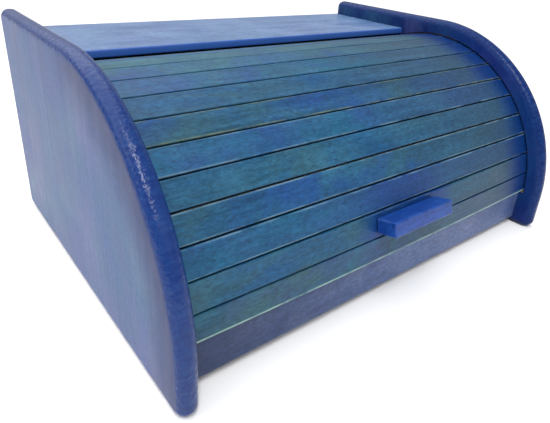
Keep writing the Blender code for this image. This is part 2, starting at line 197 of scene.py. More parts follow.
def stainedWood(name, look):
    # thin blue stain over beech: long grain, short pores, brushed-on mottle, rubbed and bare
    # edges, some pale edges that are painted highlight, and bands, some of them painted shade
    material, tree, shader = newMaterial(name)
    stretch = {"x": (0.06, 1, 1), "z": (1, 1, 0.06)}[look["along"]]
    seed = look["seed"]
    coords = pieceCoords(tree, stretch, (seed, seed * 1.7, seed * 0.6))
    plain = pieceCoords(tree, (1, 1, 1), (seed * 2.1, seed, seed))
    grain = addNoise(tree, coords, look["grainScale"], 5, 0.6, 0.6)
    streaks = addNoise(tree, coords, look["streakScale"], 3, 0.5, 1.2)
    pores = addNoise(tree, pieceCoords(tree, [0.25 if part < 1 else 1 for part in stretch],
                                       (seed, 0, seed)), 900, 2, 0.5)
    mottle = addNoise(tree, plain, look.get("mottleScale", 22), 4, 0.6, 0.4)
    depth = reckon(tree, "ADD", reckon(tree, "MULTIPLY", grain, 0.45),
                   reckon(tree, "MULTIPLY", streaks, 0.55))
    colour = mixColour(tree, spread(tree, depth, 0.36, 0.64), look["dark"], look["light"])
    colour = mixColour(tree, spread(tree, mottle, 0.40, 0.68, 0.0, look["mottle"]), colour,
                       look["pale"])
    castScale, castDepth = look.get("castScale", 13), look.get("castDepth", 0.6)
    patches = addNoise(tree, plain, castScale, 5, 0.62, 0.8)    # the stain leans to another blue
    colour = mixColour(tree, spread(tree, patches, 0.44, 0.66, 0.0, castDepth), colour,
                       look["cast"])
    if "secondCast" in look:
        others = addNoise(tree, pieceCoords(tree, (0.5, 1, 1), (seed, 4.0, 2.0)),
                          castScale * 1.6, 4, 0.6, 0.6)
        colour = mixColour(tree, spread(tree, others, 0.48, 0.66, 0.0, castDepth), colour,
                           look["secondCast"])
    if "bands" in look:
        colour = addBands(tree, colour, mottle, look["bands"])
    if "frontRim" in look:
        colour = addRimShade(tree, colour, mottle, look["frontRim"])
    poreMask = spread(tree, pores, 0.60, 0.72, 0.0, look.get("pores", 0.35))
    colour = mixColour(tree, poreMask, colour, look["deep"])
    nap = look.get("nap", 0.28)     # fine raised grain, lighter and darker than the stain
    speckle = addNoise(tree, pieceCoords(tree, [0.45 if part < 1 else 1 for part in stretch],
                                         (seed, seed, 0)), 540, 3, 0.7, 0.4)
    colour = mixColour(tree, 1.0, colour, spread(tree, speckle, 0.33, 0.67, 1 - nap, 1 + nap),
                       "MULTIPLY")
    edge = readAttribute(tree, "edge")
    rubbedAndLitPatches = spread(tree, addNoise(tree, plain, look.get("wearScale", 45), 5, 0.65, 0.5),
                      look.get("wearFrom", 0.42), look.get("wearTo", 0.62))
    # on slats 3, 4 and 6 this pale edge colour is painted highlight
    amount = reckon(tree, "MULTIPLY", reckon(tree, "MULTIPLY", edge, rubbedAndLitPatches), look["wear"])
    colour = mixColour(tree, amount, colour, look["edgeColour"])
    if "rimStreak" in look:         # end grain drinks more stain, in short streaks across the edge
        ends = addNoise(tree, pieceCoords(tree, (0.12, 1, 1)), 420, 4, 0.6, 0.3)
        taken = reckon(tree, "MULTIPLY", edge, spread(tree, ends, 0.42, 0.62, 0.0, 0.35))
        colour = mixColour(tree, taken, colour, look["rimStreak"])
    if "bareColour" in look:
        bare = mixColour(tree, spread(tree, depth, 0.38, 0.62), look["bareColour"],
                         look["bareDark"])
        soaked = reckon(tree, "ADD", readAttribute(tree, "bare"),
                        spread(tree, mottle, 0.3, 0.7, -0.35, 0.35))
        colour = mixColour(tree, spread(tree, soaked, 0.45, 0.60), colour, bare)
    tree.links.new(colour, shader.inputs["Base Color"])
    dull = spread(tree, reckon(tree, "ADD", reckon(tree, "MULTIPLY", mottle, 0.6),
                               reckon(tree, "MULTIPLY", grain, 0.4)),
                  0.35, 0.65, look["glossy"], look["dull"])
    if "rimStreak" in look:         # varnish lies thicker and lumpier on the rounded edges
        dull = reckon(tree, "SUBTRACT", dull, reckon(tree, "MULTIPLY", edge, 0.17))
    tree.links.new(dull, shader.inputs["Roughness"])
    ripple = addBump(tree, streaks, look.get("ripple", 0.35), 0.0006)
    relief = addBump(tree, reckon(tree, "SUBTRACT", grain, poreMask), look.get("relief", 0.4),
                     0.0002, ripple)
    if "rimStreak" in look:
        lumps = reckon(tree, "SUBTRACT", addNoise(tree, plain, 380, 2, 0.5), 0.5)
        lumps = reckon(tree, "MULTIPLY", edge, lumps)
        relief = addBump(tree, lumps, 0.6, 0.0009, relief)
    tree.links.new(relief, shader.inputs["Normal"])
    shader.inputs["Specular IOR Level"].default_value = look.get("specular", 0.34)
    shader.inputs["Coat Weight"].default_value = look["coat"]
    shader.inputs["Coat Roughness"].default_value = 0.3
    return material


def bareWood(name, look):
    # unfinished beech or birch, with its plies showing on a board's edges when it has some
    material, tree, shader = newMaterial(name)
    stretch = {"x": (0.05, 1, 1), "z": (1, 1, 0.05)}[look["along"]]
    coords = pieceCoords(tree, stretch)
    grain = addNoise(tree, coords, 220, 5, 0.6, 0.8)
    rings = addNoise(tree, coords, 45, 3, 0.5, 2.0)
    pores = addNoise(tree, coords, 1100, 2, 0.5)
    cloud = addNoise(tree, pieceCoords(tree), 14, 3, 0.5)
    depth = reckon(tree, "ADD", reckon(tree, "MULTIPLY", grain, 0.4),
                   reckon(tree, "MULTIPLY", rings, 0.6))
    colour = mixColour(tree, spread(tree, depth, 0.36, 0.64), look["light"], look["dark"])
    colour = mixColour(tree, spread(tree, cloud, 0.4, 0.7, 0.0, 0.5), colour, look["warm"])
    fleck = spread(tree, pores, 0.60, 0.72, 0.0, 0.5)
    colour = mixColour(tree, fleck, colour, look["fleck"])
    if "plies" in look:
        plies = look["plies"]
        across = reckon(tree, "SUBTRACT", splitPlace(tree)[plies["axis"]], plies["start"])
        across = reckon(tree, "DIVIDE", across, plies["pitch"])
        cross = reckon(tree, "GREATER_THAN", reckon(tree, "PINGPONG", across, 1.0), 0.5)
        layered = mixColour(tree, cross, colour, look["crossPly"])
        colour = mixColour(tree, readAttribute(tree, "edge"), colour, layered)
    tree.links.new(colour, shader.inputs["Base Color"])
    tree.links.new(spread(tree, grain, 0.35, 0.65, 0.55, 0.75), shader.inputs["Roughness"])
    relief = addBump(tree, reckon(tree, "SUBTRACT", grain, fleck), 0.5, 0.0002)
    tree.links.new(relief, shader.inputs["Normal"])
    return material


def wovenCotton(name, look):
    # plain weave read off the cloth's own flat layout, in metres
    material, tree, shader = newMaterial(name)
    flat = tree.nodes.new("ShaderNodeUVMap")
    flat.uv_map = "flat"
    threads = []
    for direction in ("X", "Y"):
        wave = tree.nodes.new("ShaderNodeTexWave")
        wave.wave_type = "BANDS"
        wave.bands_direction = direction
        wave.inputs["Scale"].default_value = 0.5 / look["threadPitch"]
        wave.inputs["Distortion"].default_value = 0.6
        wave.inputs["Detail"].default_value = 1.0
        wave.inputs["Detail Scale"].default_value = 2.0
        tree.links.new(flat.outputs["UV"], wave.inputs["Vector"])
        threads.append(wave.outputs["Fac"])
    weave = reckon(tree, "MULTIPLY", threads[0], threads[1])
    slub = addNoise(tree, flat.outputs["UV"], 160, 4, 0.6)
    glue = addNoise(tree, flat.outputs["UV"], 18, 4, 0.6, 0.5)
    colour = mixColour(tree, spread(tree, weave, 0.05, 0.7), look["shadow"], look["thread"])
    colour = mixColour(tree, spread(tree, slub, 0.35, 0.7, 0.0, 0.5), colour, look["slub"])
    colour = mixColour(tree, spread(tree, glue, 0.52, 0.66, 0.0, 0.55), colour, look["glue"])
    tree.links.new(colour, shader.inputs["Base Color"])
    tree.links.new(spread(tree, glue, 0.50, 0.66, 0.92, 0.6), shader.inputs["Roughness"])
    shader.inputs["Sheen Weight"].default_value = 0.25
    shader.inputs["Sheen Roughness"].default_value = 0.5
    tree.links.new(addBump(tree, weave, 0.7, 0.0003), shader.inputs["Normal"])
    return material


def platedSteel(name, look):
    # bright zinc with faint turning marks and dull patches
    material, tree, shader = newMaterial(name)
    patches = addNoise(tree, pieceCoords(tree), 420, 3, 0.6)
    marks = addNoise(tree, pieceCoords(tree), 2600, 3, 0.6)
    colour = mixColour(tree, spread(tree, patches, 0.4, 0.65), look["bright"], look["dull"])
    tree.links.new(colour, shader.inputs["Base Color"])
    tree.links.new(spread(tree, patches, 0.35, 0.7, 0.22, 0.45), shader.inputs["Roughness"])
    tree.links.new(addBump(tree, marks, 0.15, 0.0001), shader.inputs["Normal"])
    shader.inputs["Metallic"].default_value = 1.0
    return material


def joinFrame(bm, name, body, stands, material, smoothTo=34):
    # closes a mesh off as a piece that rides on a body and stands for its plain node
    mesh = bpy.data.meshes.new(name)
    bm.to_mesh(mesh)
    bm.free()
    mesh.shade_smooth()
    mesh.set_sharp_from_angle(angle=math.radians(smoothTo))
    mesh.materials.append(material)
    piece = bpy.data.objects.new(name, mesh)
    bpy.context.scene.collection.objects.link(piece)
    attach(piece, body)
    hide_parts(*stands)
    return piece


def cutAway(bm, cutters):
    # takes each cutter's shape out of the mesh, and gives the mesh back
    mesh = bpy.data.meshes.new("blank")
    bm.to_mesh(mesh)
    bm.free()
    blank = bpy.data.objects.new("blank", mesh)
    bpy.context.scene.collection.objects.link(blank)
    tools = []
    for cutter in cutters:
        bmesh.ops.recalc_face_normals(cutter, faces=cutter.faces)
        cutterMesh = bpy.data.meshes.new("cutter")
        cutter.to_mesh(cutterMesh)
        cutter.free()
        tool = bpy.data.objects.new("cutter", cutterMesh)
        bpy.context.scene.collection.objects.link(tool)
        tools.append(tool)
        cut = blank.modifiers.new("cut", "BOOLEAN")
        cut.operation = "DIFFERENCE"
        cut.solver = "EXACT"
        cut.object = tool
    view = bpy.context.evaluated_depsgraph_get()
    result = bmesh.new()
    result.from_mesh(bpy.data.meshes.new_from_object(blank.evaluated_get(view)))
    for tool in tools + [blank]:
        bpy.data.objects.remove(tool, do_unlink=True)
    return result


def boxCutter(low, high):
    bm = bmesh.new()
    bmesh.ops.create_cube(bm, size=1.0)
    low, high = Vector(low), Vector(high)
    bmesh.ops.scale(bm, vec=high - low, verts=bm.verts)
    bmesh.ops.translate(bm, vec=(low + high) / 2, verts=bm.verts)
    return bm


lyingAlongX = Matrix.Rotation(math.pi / 2, 4, "Y")
lyingAlongY = Matrix.Rotation(math.pi / 2, 4, "X")


def barCutter(radius, length, centre, turn, steps=24):
    bm = bmesh.new()
    bmesh.ops.create_cone(bm, cap_ends=True, segments=steps, radius1=radius, radius2=radius,
                          depth=length, matrix=Matrix.Translation(centre) @ turn)
    return bm


def sliceAt(bm, place, normal):
    bmesh.ops.bisect_plane(bm, geom=bm.verts[:] + bm.edges[:] + bm.faces[:], plane_co=place,
                           plane_no=normal, dist=weld)


def boardBlank(low, high, rounding, roundSteps, cuts, wobble=0.0, seed=0.0):
    # softened board between two corners, cut along its length so that it can wander a little
    low, high = Vector(low), Vector(high)
    size = high - low
    bm = boxCutter(low, high)
    bmesh.ops.bevel(bm, geom=bm.edges[:], offset=rounding, segments=roundSteps, profile=0.5,
                    affect="EDGES", material=-1)
    margin = rounding + flatMargin
    for along in range(3):          # a thin flat margin keeps the big faces flat when smoothed
        if size[along] > 4 * margin:
            for place in (low[along] + margin, high[along] - margin):
                normal = Vector((0, 0, 0))
                normal[along] = 1
                sliceAt(bm, normal * place, normal)
    for cut in range(1, cuts):
        sliceAt(bm, (low.x + size.x * cut / cuts, 0, 0), (1, 0, 0))
    mark = bm.verts.layers.float.new("edge")
    for vert in bm.verts:
        depths = sorted(min(vert.co[i] - low[i], high[i] - vert.co[i]) for i in range(3))
        vert[mark] = 1.0 if depths[1] < rounding * 1.05 else 0.0
    if wobble:
        middle = (low + high) / 2
        for vert in bm.verts:       # wanders inwards only, so it never leaves its place
            drift = noise.noise_vector(Vector((vert.co.x * 14, seed, seed * 3))) * wobble
            for i in (1, 2):
                inward = 1 if vert.co[i] < middle[i] else -1
                vert.co[i] += inward * (abs(drift[i]) + 0.15 * wobble)
    return bm


# Side panels: rounded front, groove for the shutter, housings for the boards, rebate for the back
frontRim = {        # from and to are distances from the shutter's axis, the fades run along Y
    "from": 0.112, "to": 0.143, "fadeFrom": 0.02, "fadeTo": -0.03, "blur": 0.012,
    "depth": 0.95, "colour": shade(7, 32, 88),
}
panels = {
    "arcRadius": 0.147, "cornerRadius": 0.0075, "cornerSteps": 7, "rounding": 0.0065,
    "roundSteps": 9, "arcSteps": 64,
    "grooveInner": 0.124, "grooveOuter": 0.133, "grooveDepth": 0.006, "grooveSteps": 96,
    "grooveStart": 0.96, "grooveEnd": 187.4,        # degrees round the axis
    "housingDepth": 0.004, "rebateDepth": 0.0055, "rebateWidth": 0.007,
    "dowelHoleDepth": 0.0083, "bareFrom": 0.0004, "bareTo": 0.0085,     # in from the inner face
    "rimReach": 0.0056, "rimFade": 0.0008,          # how far in the rim's finish goes
    "look": {
        "along": "z", "seed": 3.1, "grainScale": 260, "streakScale": 70, "mottleScale": 18,
        "dark": shade(20, 48, 104), "light": shade(40, 72, 128), "pale": shade(72, 94, 142),
        "deep": shade(18, 36, 84), "mottle": 0.6, "pores": 0.4, "wear": 0.95,
        "cast": shade(44, 92, 124), "secondCast": shade(74, 82, 136), "castScale": 7,
        "castDepth": 0.7, "frontRim": frontRim,
        "edgeColour": shade(8, 42, 104), "wearFrom": 0.15, "wearTo": 0.42, "wearScale": 30,
        "rimStreak": shade(28, 70, 124), "glossy": 0.34, "dull": 0.48, "ripple": 0.25,
        "relief": 0.35, "coat": 0.0, "nap": 0.2, "specular": 0.28,
        "bareColour": shade(196, 160, 112), "bareDark": shade(168, 130, 84),
    },
    "deeper": {                     # the right panel's finish is painted darker: painted shade, as its inner face gets little light
        "specular": 0.14, "dark": shade(4, 22, 78), "light": shade(6, 36, 92),
        "pale": shade(16, 46, 104), "edgeColour": shade(5, 32, 88), "mottle": 0.4,
        "frontRim": dict(frontRim, colour=shade(4, 34, 104), depth=0.7),
    },
}


def rimDistance(place, low, high):
    # how far in from the panel's outline a point of it is
    if place.z > axisPlace.z and place.y < axisPlace.y:
        return panels["arcRadius"] - math.hypot(place.y - axisPlace.y, place.z - axisPlace.z)
    return min(place.y - low.y, high.y - place.y, place.z - low.z, high.z - place.z)


def panelBlank(low, high):
    bm = bmesh.new()
    start = bm.verts.new((low.x, low.y, axisPlace.z))
    bmesh.ops.spin(bm, geom=[start], cent=axisPlace, axis=(-1, 0, 0), angle=math.pi / 2,
                   steps=panels["arcSteps"], use_duplicate=False)
    top = max(bm.verts, key=lambda v: v.co.z)
    last = start
    for y, z in ((low.y, low.z), (high.y, low.z), (high.y, high.z)):
        corner = bm.verts.new((low.x, y, z))
        bm.edges.new((last, corner))
        last = corner
    bm.edges.new((last, top))
    side = bmesh.ops.contextual_create(bm, geom=bm.edges[:])["faces"]
    grown = bmesh.ops.extrude_face_region(bm, geom=side)["geom"]
    bmesh.ops.translate(bm, vec=(high.x - low.x, 0, 0),
                        verts=[g for g in grown if isinstance(g, bmesh.types.BMVert)])
    bmesh.ops.recalc_face_normals(bm, faces=bm.faces[:])
    corners = [e for e in bm.edges if abs(e.verts[0].co.x - e.verts[1].co.x) > 0.005
               and e.calc_face_angle() > 1.0]
    bmesh.ops.bevel(bm, geom=corners, offset=panels["cornerRadius"],
                    segments=panels["cornerSteps"], profile=0.5, affect="EDGES", material=-1)
    rims = [e for e in bm.edges if abs(e.verts[0].co.x - e.verts[1].co.x) < 0.0001
            and e.calc_face_angle() > 1.0]
    bmesh.ops.bevel(bm, geom=rims, offset=panels["rounding"], segments=panels["roundSteps"],
                    profile=0.5, affect="EDGES", material=-1, clamp_overlap=False)
    sides = [f for f in bm.faces if len(f.verts) > panels["arcSteps"] / 2]
    bmesh.ops.inset_region(bm, faces=sides, thickness=flatMargin, use_even_offset=True)
    return bm


def grooveCutter(innerX, side):
    # ring segment swept about the shutter's axis
    start, end = math.radians(panels["grooveStart"]), math.radians(panels["grooveEnd"])
    xs = (innerX - side * cutOver, innerX + side * panels["grooveDepth"])
    bm = bmesh.new()
    corners = [bm.verts.new(onArc(radius, start, x)) for x, radius in (
        (xs[0], panels["grooveInner"]), (xs[1], panels["grooveInner"]),
        (xs[1], panels["grooveOuter"]), (xs[0], panels["grooveOuter"]))]
    bm.faces.new(corners)
    bmesh.ops.spin(bm, geom=bm.faces[:], cent=axisPlace, axis=(-1, 0, 0), angle=end - start,
                   steps=panels["grooveSteps"], use_duplicate=False)
    bmesh.ops.triangulate(bm, faces=bm.faces[:])
    return bm


def housingCutter(innerX, side, node):
    # takes a board's end, and is open to the back
    low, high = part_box(node)
    xs = sorted((innerX - side * cutOver, innerX + side * panels["housingDepth"]))
    return boxCutter((xs[0], low.y - jointGap, low.z - jointGap),
                     (xs[1], high.y + 2 * cutOver, high.z + jointGap))


def makePanel(side, node):
    low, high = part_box(node)
    innerX = low.x if side > 0 else high.x
    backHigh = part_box("back_panel")[1]
    cutters = [grooveCutter(innerX, side), housingCutter(innerX, side, "top_board"),
               housingCutter(innerX, side, "base_board")]
    xs = sorted((innerX - side * cutOver, innerX + side * panels["rebateWidth"]))
    cutters.append(boxCutter((xs[0], high.y - panels["rebateDepth"], -cutOver),
                             (xs[1], high.y + 2 * cutOver, backHigh.z + jointGap)))
    for height in ("lower", "upper"):
        dowel = "rail_dowel_%s_%s" % ("right" if side > 0 else "left", height)
        dowelLow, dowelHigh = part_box(dowel)
        centre = (dowelLow + dowelHigh) / 2
        centre.x = innerX
        cutters.append(barCutter((dowelHigh.z - dowelLow.z) / 2 + jointGap,
                                 2 * panels["dowelHoleDepth"], centre, lyingAlongX))
    bm = cutAway(panelBlank(low, high), cutters)
    mark = bm.verts.layers.float.new("edge")
    for vert in bm.verts:
        reach = panels["rimReach"] - rimDistance(vert.co, low, high)
        vert[mark] = max(0.0, min(1.0, reach / panels["rimFade"]))
    bare = bm.faces.layers.float.new("bare")
    for face in bm.faces:           # the stain stops at the mouths of the groove and housings
        centre = face.calc_center_median()
        within = panels["bareFrom"] < abs(centre.x - innerX) < panels["bareTo"]
        inside = rimDistance(centre, low, high) > panels["rebateDepth"]
        face[bare] = 1.0 if within and inside else 0.0
    look = dict(panels["look"], seed=panels["look"]["seed"] * side)
    # the right panel takes the darker copy of the finish, which is painted shade
    if side > 0:
        look.update(panels["deeper"])
    material = stainedWood(node.replace("_side", "") + "_stain", look)
    joinFrame(bm, node.replace("_side_panel", "_panel_wood"), "carcass", [node], material)


for side, node in ((-1, "left_side_panel"), (1, "right_side_panel")):
    makePanel(side, node)
print("side panels done")


# Boards between the panels
boards = {
    "top_board": {
        "piece": "top_board_wood", "slot": "board_blue", "rounding": 0.0012, "wobble": 0.0,
        "look": {"along": "x", "seed": 5.3, "grainScale": 240, "streakScale": 60,
                 "dark": shade(60, 88, 136), "light": shade(92, 122, 168),
                 "pale": shade(124, 146, 182), "deep": shade(36, 58, 116), "mottle": 0.5,
                 "cast": shade(84, 124, 160), "edgeColour": shade(46, 88, 164), "wear": 0.95,
                 "wearFrom": 0.1, "wearTo": 0.3, "glossy": 0.3, "dull": 0.44, "coat": 0.15},
    },
    "front_rail": {
        "piece": "front_rail_wood", "slot": "rail_blue", "rounding": 0.0012, "wobble": 0.00012,
        "look": {"along": "x", "seed": 8.7, "grainScale": 240, "streakScale": 60,
                 "dark": shade(40, 60, 108), "light": shade(72, 92, 136),
                 "pale": shade(110, 120, 152), "deep": shade(30, 48, 98), "mottle": 0.65,
                 # darker towards the rail's ends, most of all the left one: painted shade where
                 # the rail meets the side panels
                 "bands": [{"middle": 0.07, "from": 0.09, "to": 0.25, "depth": 0.9,
                            "colour": shade(24, 40, 76)}],
                 "cast": shade(58, 92, 140), "edgeColour": shade(98, 116, 152), "wear": 0.5,
                 "glossy": 0.36, "dull": 0.5, "specular": 0.28, "coat": 0.04},
    },
}
plywood = {
    "rounding": 0.0003, "pinHole": 0.001, "pinSpare": 0.001,
    "look": {"light": shade(214, 182, 136), "dark": shade(188, 150, 104),
             "warm": shade(206, 164, 116), "fleck": shade(150, 112, 76),
             "crossPly": shade(150, 112, 74)},
}


def boardBores(node):
    # holes for the dowels and pins that go into a board
    bores = []
    if node == "front_rail":
        for label in ("left_lower", "left_upper", "right_lower", "right_upper"):
            low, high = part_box("rail_dowel_" + label)
            bores.append(barCutter((high.z - low.z) / 2 + jointGap,
                                   high.x - low.x + 2 * jointGap, (low + high) / 2, lyingAlongX))
    if node in ("back_panel", "base_board"):
        for pin in pinNodes:
            if node == "base_board" and "base" not in pin:
                continue
            low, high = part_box(pin)
            bores.append(barCutter(plywood["pinHole"], high.y - low.y + plywood["pinSpare"],
                                   (low + high) / 2, lyingAlongY, 16))
    return bores


for node, board in boards.items():
    low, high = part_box(node)
    bm = boardBlank(low, high, board["rounding"], roundSteps=4, cuts=32,
                    wobble=board["wobble"], seed=board["look"]["seed"])
    bores = boardBores(node)
    if bores:
        bm = cutAway(bm, bores)
    joinFrame(bm, board["piece"], "carcass", [node],
              stainedWood(board["piece"] + "_stain", board["look"]))
for node, plies in (("base_board", {"axis": 2, "pitch": 0.0016}),
                    ("back_panel", {"axis": 1, "pitch": 0.00133})):
    low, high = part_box(node)
    bm = cutAway(boardBlank(low, high, plywood["rounding"], roundSteps=2, cuts=16),
                 boardBores(node))
    look = dict(plywood["look"], plies=dict(plies, start=low[plies["axis"]]),
                along="z" if node == "back_panel" else "x")
    joinFrame(bm, node + "_ply", "carcass", [node], bareWood(node + "_birch", look))
print("boards done")


# Shutter slats, numbered from the bottom
slats = {
    "count": 14, "firstEdge": 1.509, "lastEdge": 120.665,       # degrees round the axis
    "inner": 0.125, "thickness": 0.0065, "length": 0.378, "gap": 0.0003, "rounding": 0.0006,
    "cuts": 40, "wander": 0.00016, "tilt": 0.5, "dip": 0.00014,
    "rubbed": 0.0013, "rubbedFade": 0.0005,     # up from the lowest slat's bottom edge
    # the lowest slats have bowed outwards, most of all the one that the handle pulls on
    "bow": {1: 0.0018, 2: 0.0024, 3: 0.0018, 4: 0.0011, 5: 0.0005},
    "look": {
        "along": "x", "grainScale": 320, "streakScale": 120, "mottleScale": 30,
        "deep": shade(10, 30, 72), "mottle": 0.45, "pores": 0.5, "castScale": 14,
        "castDepth": 0.75, "edgeColour": shade(72, 104, 124), "wear": 0.45, "wearFrom": 0.46,
        "wearTo": 0.62, "wearScale": 38, "glossy": 0.36, "dull": 0.52, "ripple": 0.4,
        "relief": 0.45, "specular": 0.26, "coat": 0.04,
        "bareColour": shade(198, 176, 128), "bareDark": shade(160, 136, 92),
    },
    "casts": (shade(8, 84, 112), shade(18, 62, 122), shade(40, 82, 98)),
    "secondCasts": (shade(32, 68, 120), shade(42, 82, 90), shade(8, 68, 114)),
    # the slats' right part is painted duller and darker: painted shade, away from the light on the
    # left
    "faded": {"middle": -0.19, "from": 0.17, "to": 0.34, "depth": 0.55,
              "colour": shade(34, 54, 80)},
    "pooled": {"middle": -0.19, "depth": 0.92, "colour": shade(0, 42, 102)},
    "pooledTo": 0.173, "pooledNarrow": 0.186, "pooledWidth": 0.024,     # darker and bluer towards the slats' right ends, by the right panel
    "round": {              # darker and bluer round the handle
        2: {"middle": 0.004, "from": 0.066, "to": 0.044, "depth": 0.75,
            "colour": shade(2, 46, 116)},
        3: {"middle": 0.004, "from": 0.056, "to": 0.028, "depth": 0.5,
            "colour": shade(2, 46, 116)},
    },
    "worn": {               # the lowest one is rubbed along the edge that meets the rail; the pale edges of slats 3, 4 and 6 are painted highlight
        1: {"edgeColour": shade(134, 166, 158), "wear": 0.9, "wearFrom": 0.3, "wearTo": 0.5,
            "cast": shade(46, 56, 112)},
        3: {"edgeColour": shade(98, 130, 150), "wear": 0.7, "wearFrom": 0.4, "wearTo": 0.58},
        4: {"edgeColour": shade(98, 130, 150), "wear": 0.7, "wearFrom": 0.4, "wearTo": 0.58},
        6: {"edgeColour": shade(98, 130, 150), "wear": 0.7, "wearFrom": 0.4, "wearTo": 0.58},
        7: {"edgeColour": shade(96, 112, 96), "wear": 0.8, "wearFrom": 0.42, "wearTo": 0.6},
    },
}
slatPitch = math.radians(slats["lastEdge"] - slats["firstEdge"]) / slats["count"]
slatWidth = 2 * slats["inner"] * math.tan(slatPitch / 2) - slats["gap"]


def slatAngle(number):
    return math.radians(slats["firstEdge"]) + (number - 0.5) * slatPitch


def slatPlace(number, radius, x=0.0):
    # turns a slat's own upright layout to its place round the axis
    angle = slatAngle(number)
    return Matrix.Translation(onArc(radius, angle, x)) @ Matrix.Rotation(-angle, 4, "X")


def slatBow(number, x):
    # how far a slat stands out from its straight line, at x along it
    along = 2 * x / slats["length"]
    return slats["bow"].get(number, 0.0) * (1 - along * along)


def slatLook(number):
    # each slat took the stain a little differently, and the upper ones are painted paler: painted
    # reflection of the light from above
    drift = noise.noise(Vector((number * 1.37, 4.2, 0.5)))
    cool = noise.noise(Vector((number * 2.11, 9.1, 3.5)))
    height = (number - 1) / (slats["count"] - 1)
    # the height terms paint the upper slats paler, as painted reflection of the overhead light
    red = 13 + 10 * drift + 24 * height
    green = 70 + 10 * drift + 8 * cool + 14 * height
    blue = 101 + 10 * drift - 6 * cool + 8 * height
    full = slats["pooledNarrow"] if number in (4, 5, 6) else slats["pooledTo"]
    full -= slats["pooled"]["middle"]
    pooled = dict(slats["pooled"], to=full)
    pooled["from"] = full - slats["pooledWidth"]
    look = dict(slats["look"], seed=number * 1.9,
                dark=shade(red - 10, green - 16, blue - 22),
                light=shade(red + 16, green + 16, blue + 18),
                pale=shade(red + 30, green + 28, blue + 26),
                cast=slats["casts"][number % 3], secondCast=slats["secondCasts"][number % 3],
                bands=[slats["faded"], pooled])
    if number in slats["round"]:
        look["bands"].append(slats["round"][number])
    look.update(slats["worn"].get(number, {}))
    return look


def makeSlat(number):
    half = Vector((slats["length"], slats["thickness"], slatWidth)) / 2
    bm = boardBlank(-half, half, slats["rounding"], roundSteps=3, cuts=slats["cuts"])
    sliceAt(bm, (0, 0, slats["rubbed"] + slats["rubbedFade"] - half.z), (0, 0, 1))
    bare = bm.faces.layers.float.new("bare")
    for face in bm.faces:           # the backs were never stained
        face[bare] = 1.0 if face.calc_center_median().y > half.y - 0.0002 else 0.0
    tilt = math.radians(slats["tilt"]) * noise.noise(Vector((number * 3.3, 1.5, 7.7)))
    mark = bm.verts.layers.float["edge"]
    for vert in bm.verts:
        co = vert.co
        if number == 1:             # only its lower edge is rubbed, and that one widely
            vert[mark] = 1.0 if co.z < slats["rubbed"] - half.z and co.y < 0 else 0.0
        drift = noise.noise_vector(Vector((co.x * 9, number * 5.1, 0))) * slats["wander"]
        if co.y < 0:                # outer face dips a little, never stands proud
            co.y += abs(drift.y) + slats["dip"] + co.z * math.tan(tilt) * 0.5
        co.z -= math.copysign(abs(drift.z) * 0.5, co.z)
        co.y -= slatBow(number, co.x)
    bm.transform(slatPlace(number, slats["inner"] + slats["thickness"] / 2))
    node = "slat_%02d" % number
    return joinFrame(bm, node + "_wood", "shutter", [node],
                     stainedWood(node + "_stain", slatLook(number)))


slatPieces = [makeSlat(number) for number in range(1, slats["count"] + 1)]
print("slats done")


# Canvas glued to the slats' backs
canvas = {
    "middle": 0.12445, "thickness": 0.0005, "endMargin": 0.003,
    "acrossCuts": 90, "rowsPerSlat": 6, "ripple": 0.00012,
    "bridge": 0.00018, "bridgeFrom": 0.8,       # the cloth stands off over each joint
    "look": {"threadPitch": 0.0011, "thread": shade(214, 206, 184), "shadow": shade(150, 142, 122),
             "slub": shade(226, 220, 202), "glue": shade(186, 168, 124)},
}


def canvasPlace(x, along):
    # along runs from 0 to 1 over the shutter, and the cloth follows each slat's flat back
    trim = canvas["endMargin"] / canvas["middle"]
    first = math.radians(slats["firstEdge"]) + trim
    last = math.radians(slats["lastEdge"]) - trim
    angle = first + (last - first) * along
    number = min(slats["count"], 1 + int((angle - math.radians(slats["firstEdge"])) / slatPitch))
    off = angle - slatAngle(number)
    lift = noise.noise(Vector((x * 30, along * 40, 2.2))) * canvas["ripple"]
    share = abs(off) / slatPitch    # the cloth passes from one slat's bow to the next one's
    beside = number + (1 if off > 0 else -1)
    bow = slatBow(number, x) * (1 - share) + slatBow(beside, x) * share
    overJoint = max(0.0, 2 * share - canvas["bridgeFrom"]) / (1 - canvas["bridgeFrom"])
    bridge = canvas["bridge"] * overJoint
    return onArc((canvas["middle"] + bow) / math.cos(off) - abs(lift) - bridge, angle, x)


def makeCanvas():
    low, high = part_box("shutter_canvas")
    rows = slats["count"] * canvas["rowsPerSlat"]
    bm = bmesh.new()
    bmesh.ops.create_grid(bm, x_segments=canvas["acrossCuts"], y_segments=rows, size=0.5)
    layout = bm.loops.layers.uv.new("flat")
    length = 2 * canvas["middle"] * math.tan(slatPitch / 2) * slats["count"]
    length -= 2 * canvas["endMargin"]
    width = high.x - low.x
    for face in bm.faces:
        for loop in face.loops:
            loop[layout].uv = ((loop.vert.co.x + 0.5) * width, (loop.vert.co.y + 0.5) * length)
    for vert in bm.verts:
        x, along = vert.co.x * width, vert.co.y + 0.5
        vert.co = canvasPlace(x, along)
    bmesh.ops.recalc_face_normals(bm, faces=bm.faces)
    piece = joinFrame(bm, "shutter_canvas_cloth", "shutter", ["shutter_canvas"],
                      wovenCotton("canvas_weave", canvas["look"]), 60)
    wall = piece.modifiers.new("cloth thickness", "SOLIDIFY")
    wall.thickness = canvas["thickness"]
    wall.offset = 0


makeCanvas()
print("canvas done")


